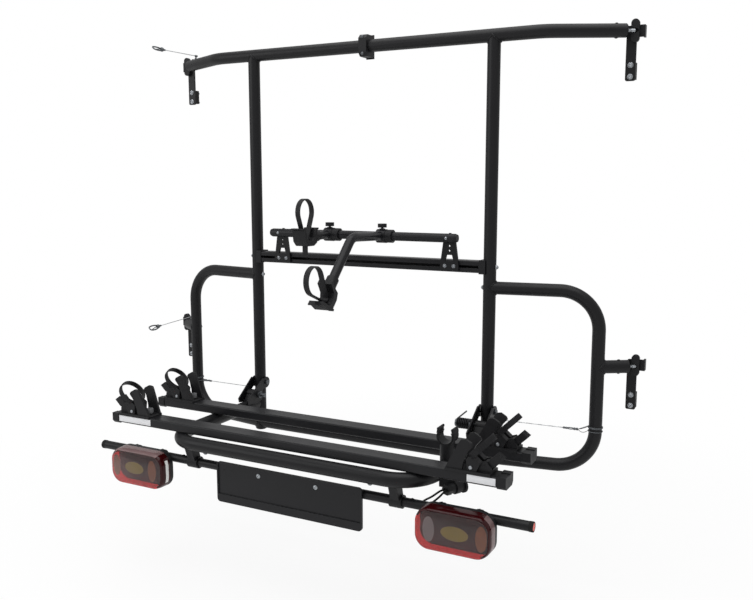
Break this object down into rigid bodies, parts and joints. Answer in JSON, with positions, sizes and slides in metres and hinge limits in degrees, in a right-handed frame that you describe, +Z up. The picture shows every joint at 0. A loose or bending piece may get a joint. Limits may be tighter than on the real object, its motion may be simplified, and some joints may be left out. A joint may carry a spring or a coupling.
{
  "type": "bike carrier for van rear doors",
  "caption": "Tubular door frame with a fold-up platform, wheel rails with strapped wheel holders, frame-holder arms on a cross bar and a light bar with lamps.",
  "frame": {"origin": "centre plane of the carrier, on the face of the doors, midway between the two screws of the lower door brackets", "axes": "+X across the van to the right as the carrier is seen from behind, +Y forward into the van, +Z up"},
  "size_m": [1.894, 0.7481, 1.526],
  "materials": {
    "powder_coat": "satin black powder coat on steel tube",
    "rail_coat": "black coated aluminium profile",
    "black_plastic": "black moulded nylon",
    "black_rubber": "black rubber",
    "zinc_steel": "bright zinc-plated steel",
    "wire_steel": "stranded galvanised steel wire",
    "spring_steel": "black phosphated spring steel",
    "lamp_red": "translucent red acrylic",
    "lamp_reflector": "metallised reflector",
    "red_reflector": "red prismatic reflector"
  },
  "bodies": {
    "frame": {"top_beam_left": "powder_coat", "top_beam_right": "powder_coat", "centre_clamp": "black_plastic", "upright_left": "powder_coat", "upright_right": "powder_coat", "crossbar": "rail_coat", "crossbar_saddles": "black_plastic", "holder_bar": "rail_coat", "holder_bar_caps": "black_plastic", "holder_brackets": "powder_coat", "side_loop_left": "powder_coat", "side_loop_right": "powder_coat", "bottom_tube": "powder_coat", "stub_tubes": "powder_coat", "door_brackets": "powder_coat", "clamp_bosses": "black_plastic", "spacer_pads": "black_rubber", "eye_bolts": "zinc_steel", "frame_screws": "zinc_steel", "hinge_cheeks": "powder_coat", "hinge_pins": "zinc_steel", "torsion_spring": "spring_steel", "safety_wire_1": "wire_steel", "safety_wire_2": "wire_steel", "safety_wire_3": "wire_steel", "safety_wire_4": "wire_steel", "snap_hooks": "zinc_steel"},
    "platform": {"platform_frame": "powder_coat", "front_rail": "rail_coat", "rear_rail": "rail_coat", "rail_caps": "black_plastic", "cradle_clip": "black_plastic", "light_bar": "powder_coat", "bar_end_reflectors": "red_reflector", "light_bar_clamps": "black_plastic", "plate_holder": "rail_coat", "platform_screws": "zinc_steel", "lamp_housings": "black_plastic", "lamp_lenses": "lamp_red", "lamp_inserts": "lamp_reflector", "plug": "black_plastic", "plug_holder": "black_plastic", "lamp_lead_left": "black_rubber", "lamp_lead_right": "black_rubber"},
    "holder_left_front": {"wheel_holder_left_front": "black_plastic"},
    "lever_left_front": {"ratchet_lever_left_front": "black_plastic"},
    "holder_left_rear": {"wheel_holder_left_rear": "black_plastic"},
    "lever_left_rear": {"ratchet_lever_left_rear": "black_plastic"},
    "holder_right_front": {"wheel_holder_right_front": "black_plastic"},
    "lever_right_front": {"ratchet_lever_right_front": "black_plastic"},
    "holder_right_rear": {"wheel_holder_right_rear": "black_plastic"},
    "lever_right_rear": {"ratchet_lever_right_rear": "black_plastic"},
    "collar_1": {"slide_collar_1": "black_plastic"},
    "holder_arm_1": {"arm_1": "rail_coat", "claw_1": "black_plastic"},
    "knob_1": {"arm_knob_1": "black_plastic"},
    "collar_2": {"slide_collar_2": "black_plastic"},
    "holder_arm_2": {"arm_2": "rail_coat", "claw_2": "black_plastic"},
    "knob_2": {"arm_knob_2": "black_plastic"}
  },
  "joints": [
    {"name": "platform_fold", "type": "hinge", "parent": "frame", "child": "platform", "pos_m": [0, -0.205, -0.0995], "axis": [1, 0, 0], "range_deg": [-78, 0], "deforming": ["torsion_spring"]},
    {"name": "holder_slide_left_front", "type": "slide", "parent": "platform", "child": "holder_left_front", "axis": [1, 0, 0], "range_m": [0, 0.04]},
    {"name": "lever_lift_left_front", "type": "hinge", "parent": "holder_left_front", "child": "lever_left_front", "pos_m": [-0.668, -0.6457, -0.0625], "axis": [0, 1, 0], "range_deg": [0, 35]},
    {"name": "holder_slide_left_rear", "type": "slide", "parent": "platform", "child": "holder_left_rear", "axis": [1, 0, 0], "range_m": [0, 0.04]},
    {"name": "lever_lift_left_rear", "type": "hinge", "parent": "holder_left_rear", "child": "lever_left_rear", "pos_m": [-0.668, -0.4167, -0.0625], "axis": [0, 1, 0], "range_deg": [0, 35]},
    {"name": "holder_slide_right_front", "type": "slide", "parent": "platform", "child": "holder_right_front", "axis": [1, 0, 0], "range_m": [-0.04, 0.015]},
    {"name": "lever_lift_right_front", "type": "hinge", "parent": "holder_right_front", "child": "lever_right_front", "pos_m": [0.641, -0.6457, -0.0625], "axis": [0, -1, 0], "range_deg": [0, 35]},
    {"name": "holder_slide_right_rear", "type": "slide", "parent": "platform", "child": "holder_right_rear", "axis": [1, 0, 0], "range_m": [-0.04, 0.015]},
    {"name": "lever_lift_right_rear", "type": "hinge", "parent": "holder_right_rear", "child": "lever_right_rear", "pos_m": [0.641, -0.4167, -0.0625], "axis": [0, -1, 0], "range_deg": [0, 35]},
    {"name": "collar_slide_1", "type": "slide", "parent": "frame", "child": "collar_1", "axis": [1, 0, 0], "range_m": [-0.15, 0.06]},
    {"name": "arm_swing_1", "type": "hinge", "parent": "collar_1", "child": "holder_arm_1", "pos_m": [-0.1185, -0.2003, 0.52], "axis": [1, 0, 0], "range_deg": [-75, 30]},
    {"name": "knob_turn_1", "type": "hinge", "parent": "holder_arm_1", "child": "knob_1", "pos_m": [-0.1185, -0.2003, 0.562], "axis": [0, 0, 1], "range_deg": [-170, 170]},
    {"name": "collar_slide_2", "type": "slide", "parent": "frame", "child": "collar_2", "axis": [1, 0, 0], "range_m": [-0.06, 0.13]},
    {"name": "arm_swing_2", "type": "hinge", "parent": "collar_2", "child": "holder_arm_2", "pos_m": [0.0895, -0.2003, 0.52], "axis": [1, 0, 0], "range_deg": [-75, 30]},
    {"name": "knob_turn_2", "type": "hinge", "parent": "holder_arm_2", "child": "knob_2", "pos_m": [0.0895, -0.2003, 0.562], "axis": [0, 0, 1], "range_deg": [-170, 170]}
  ]
}
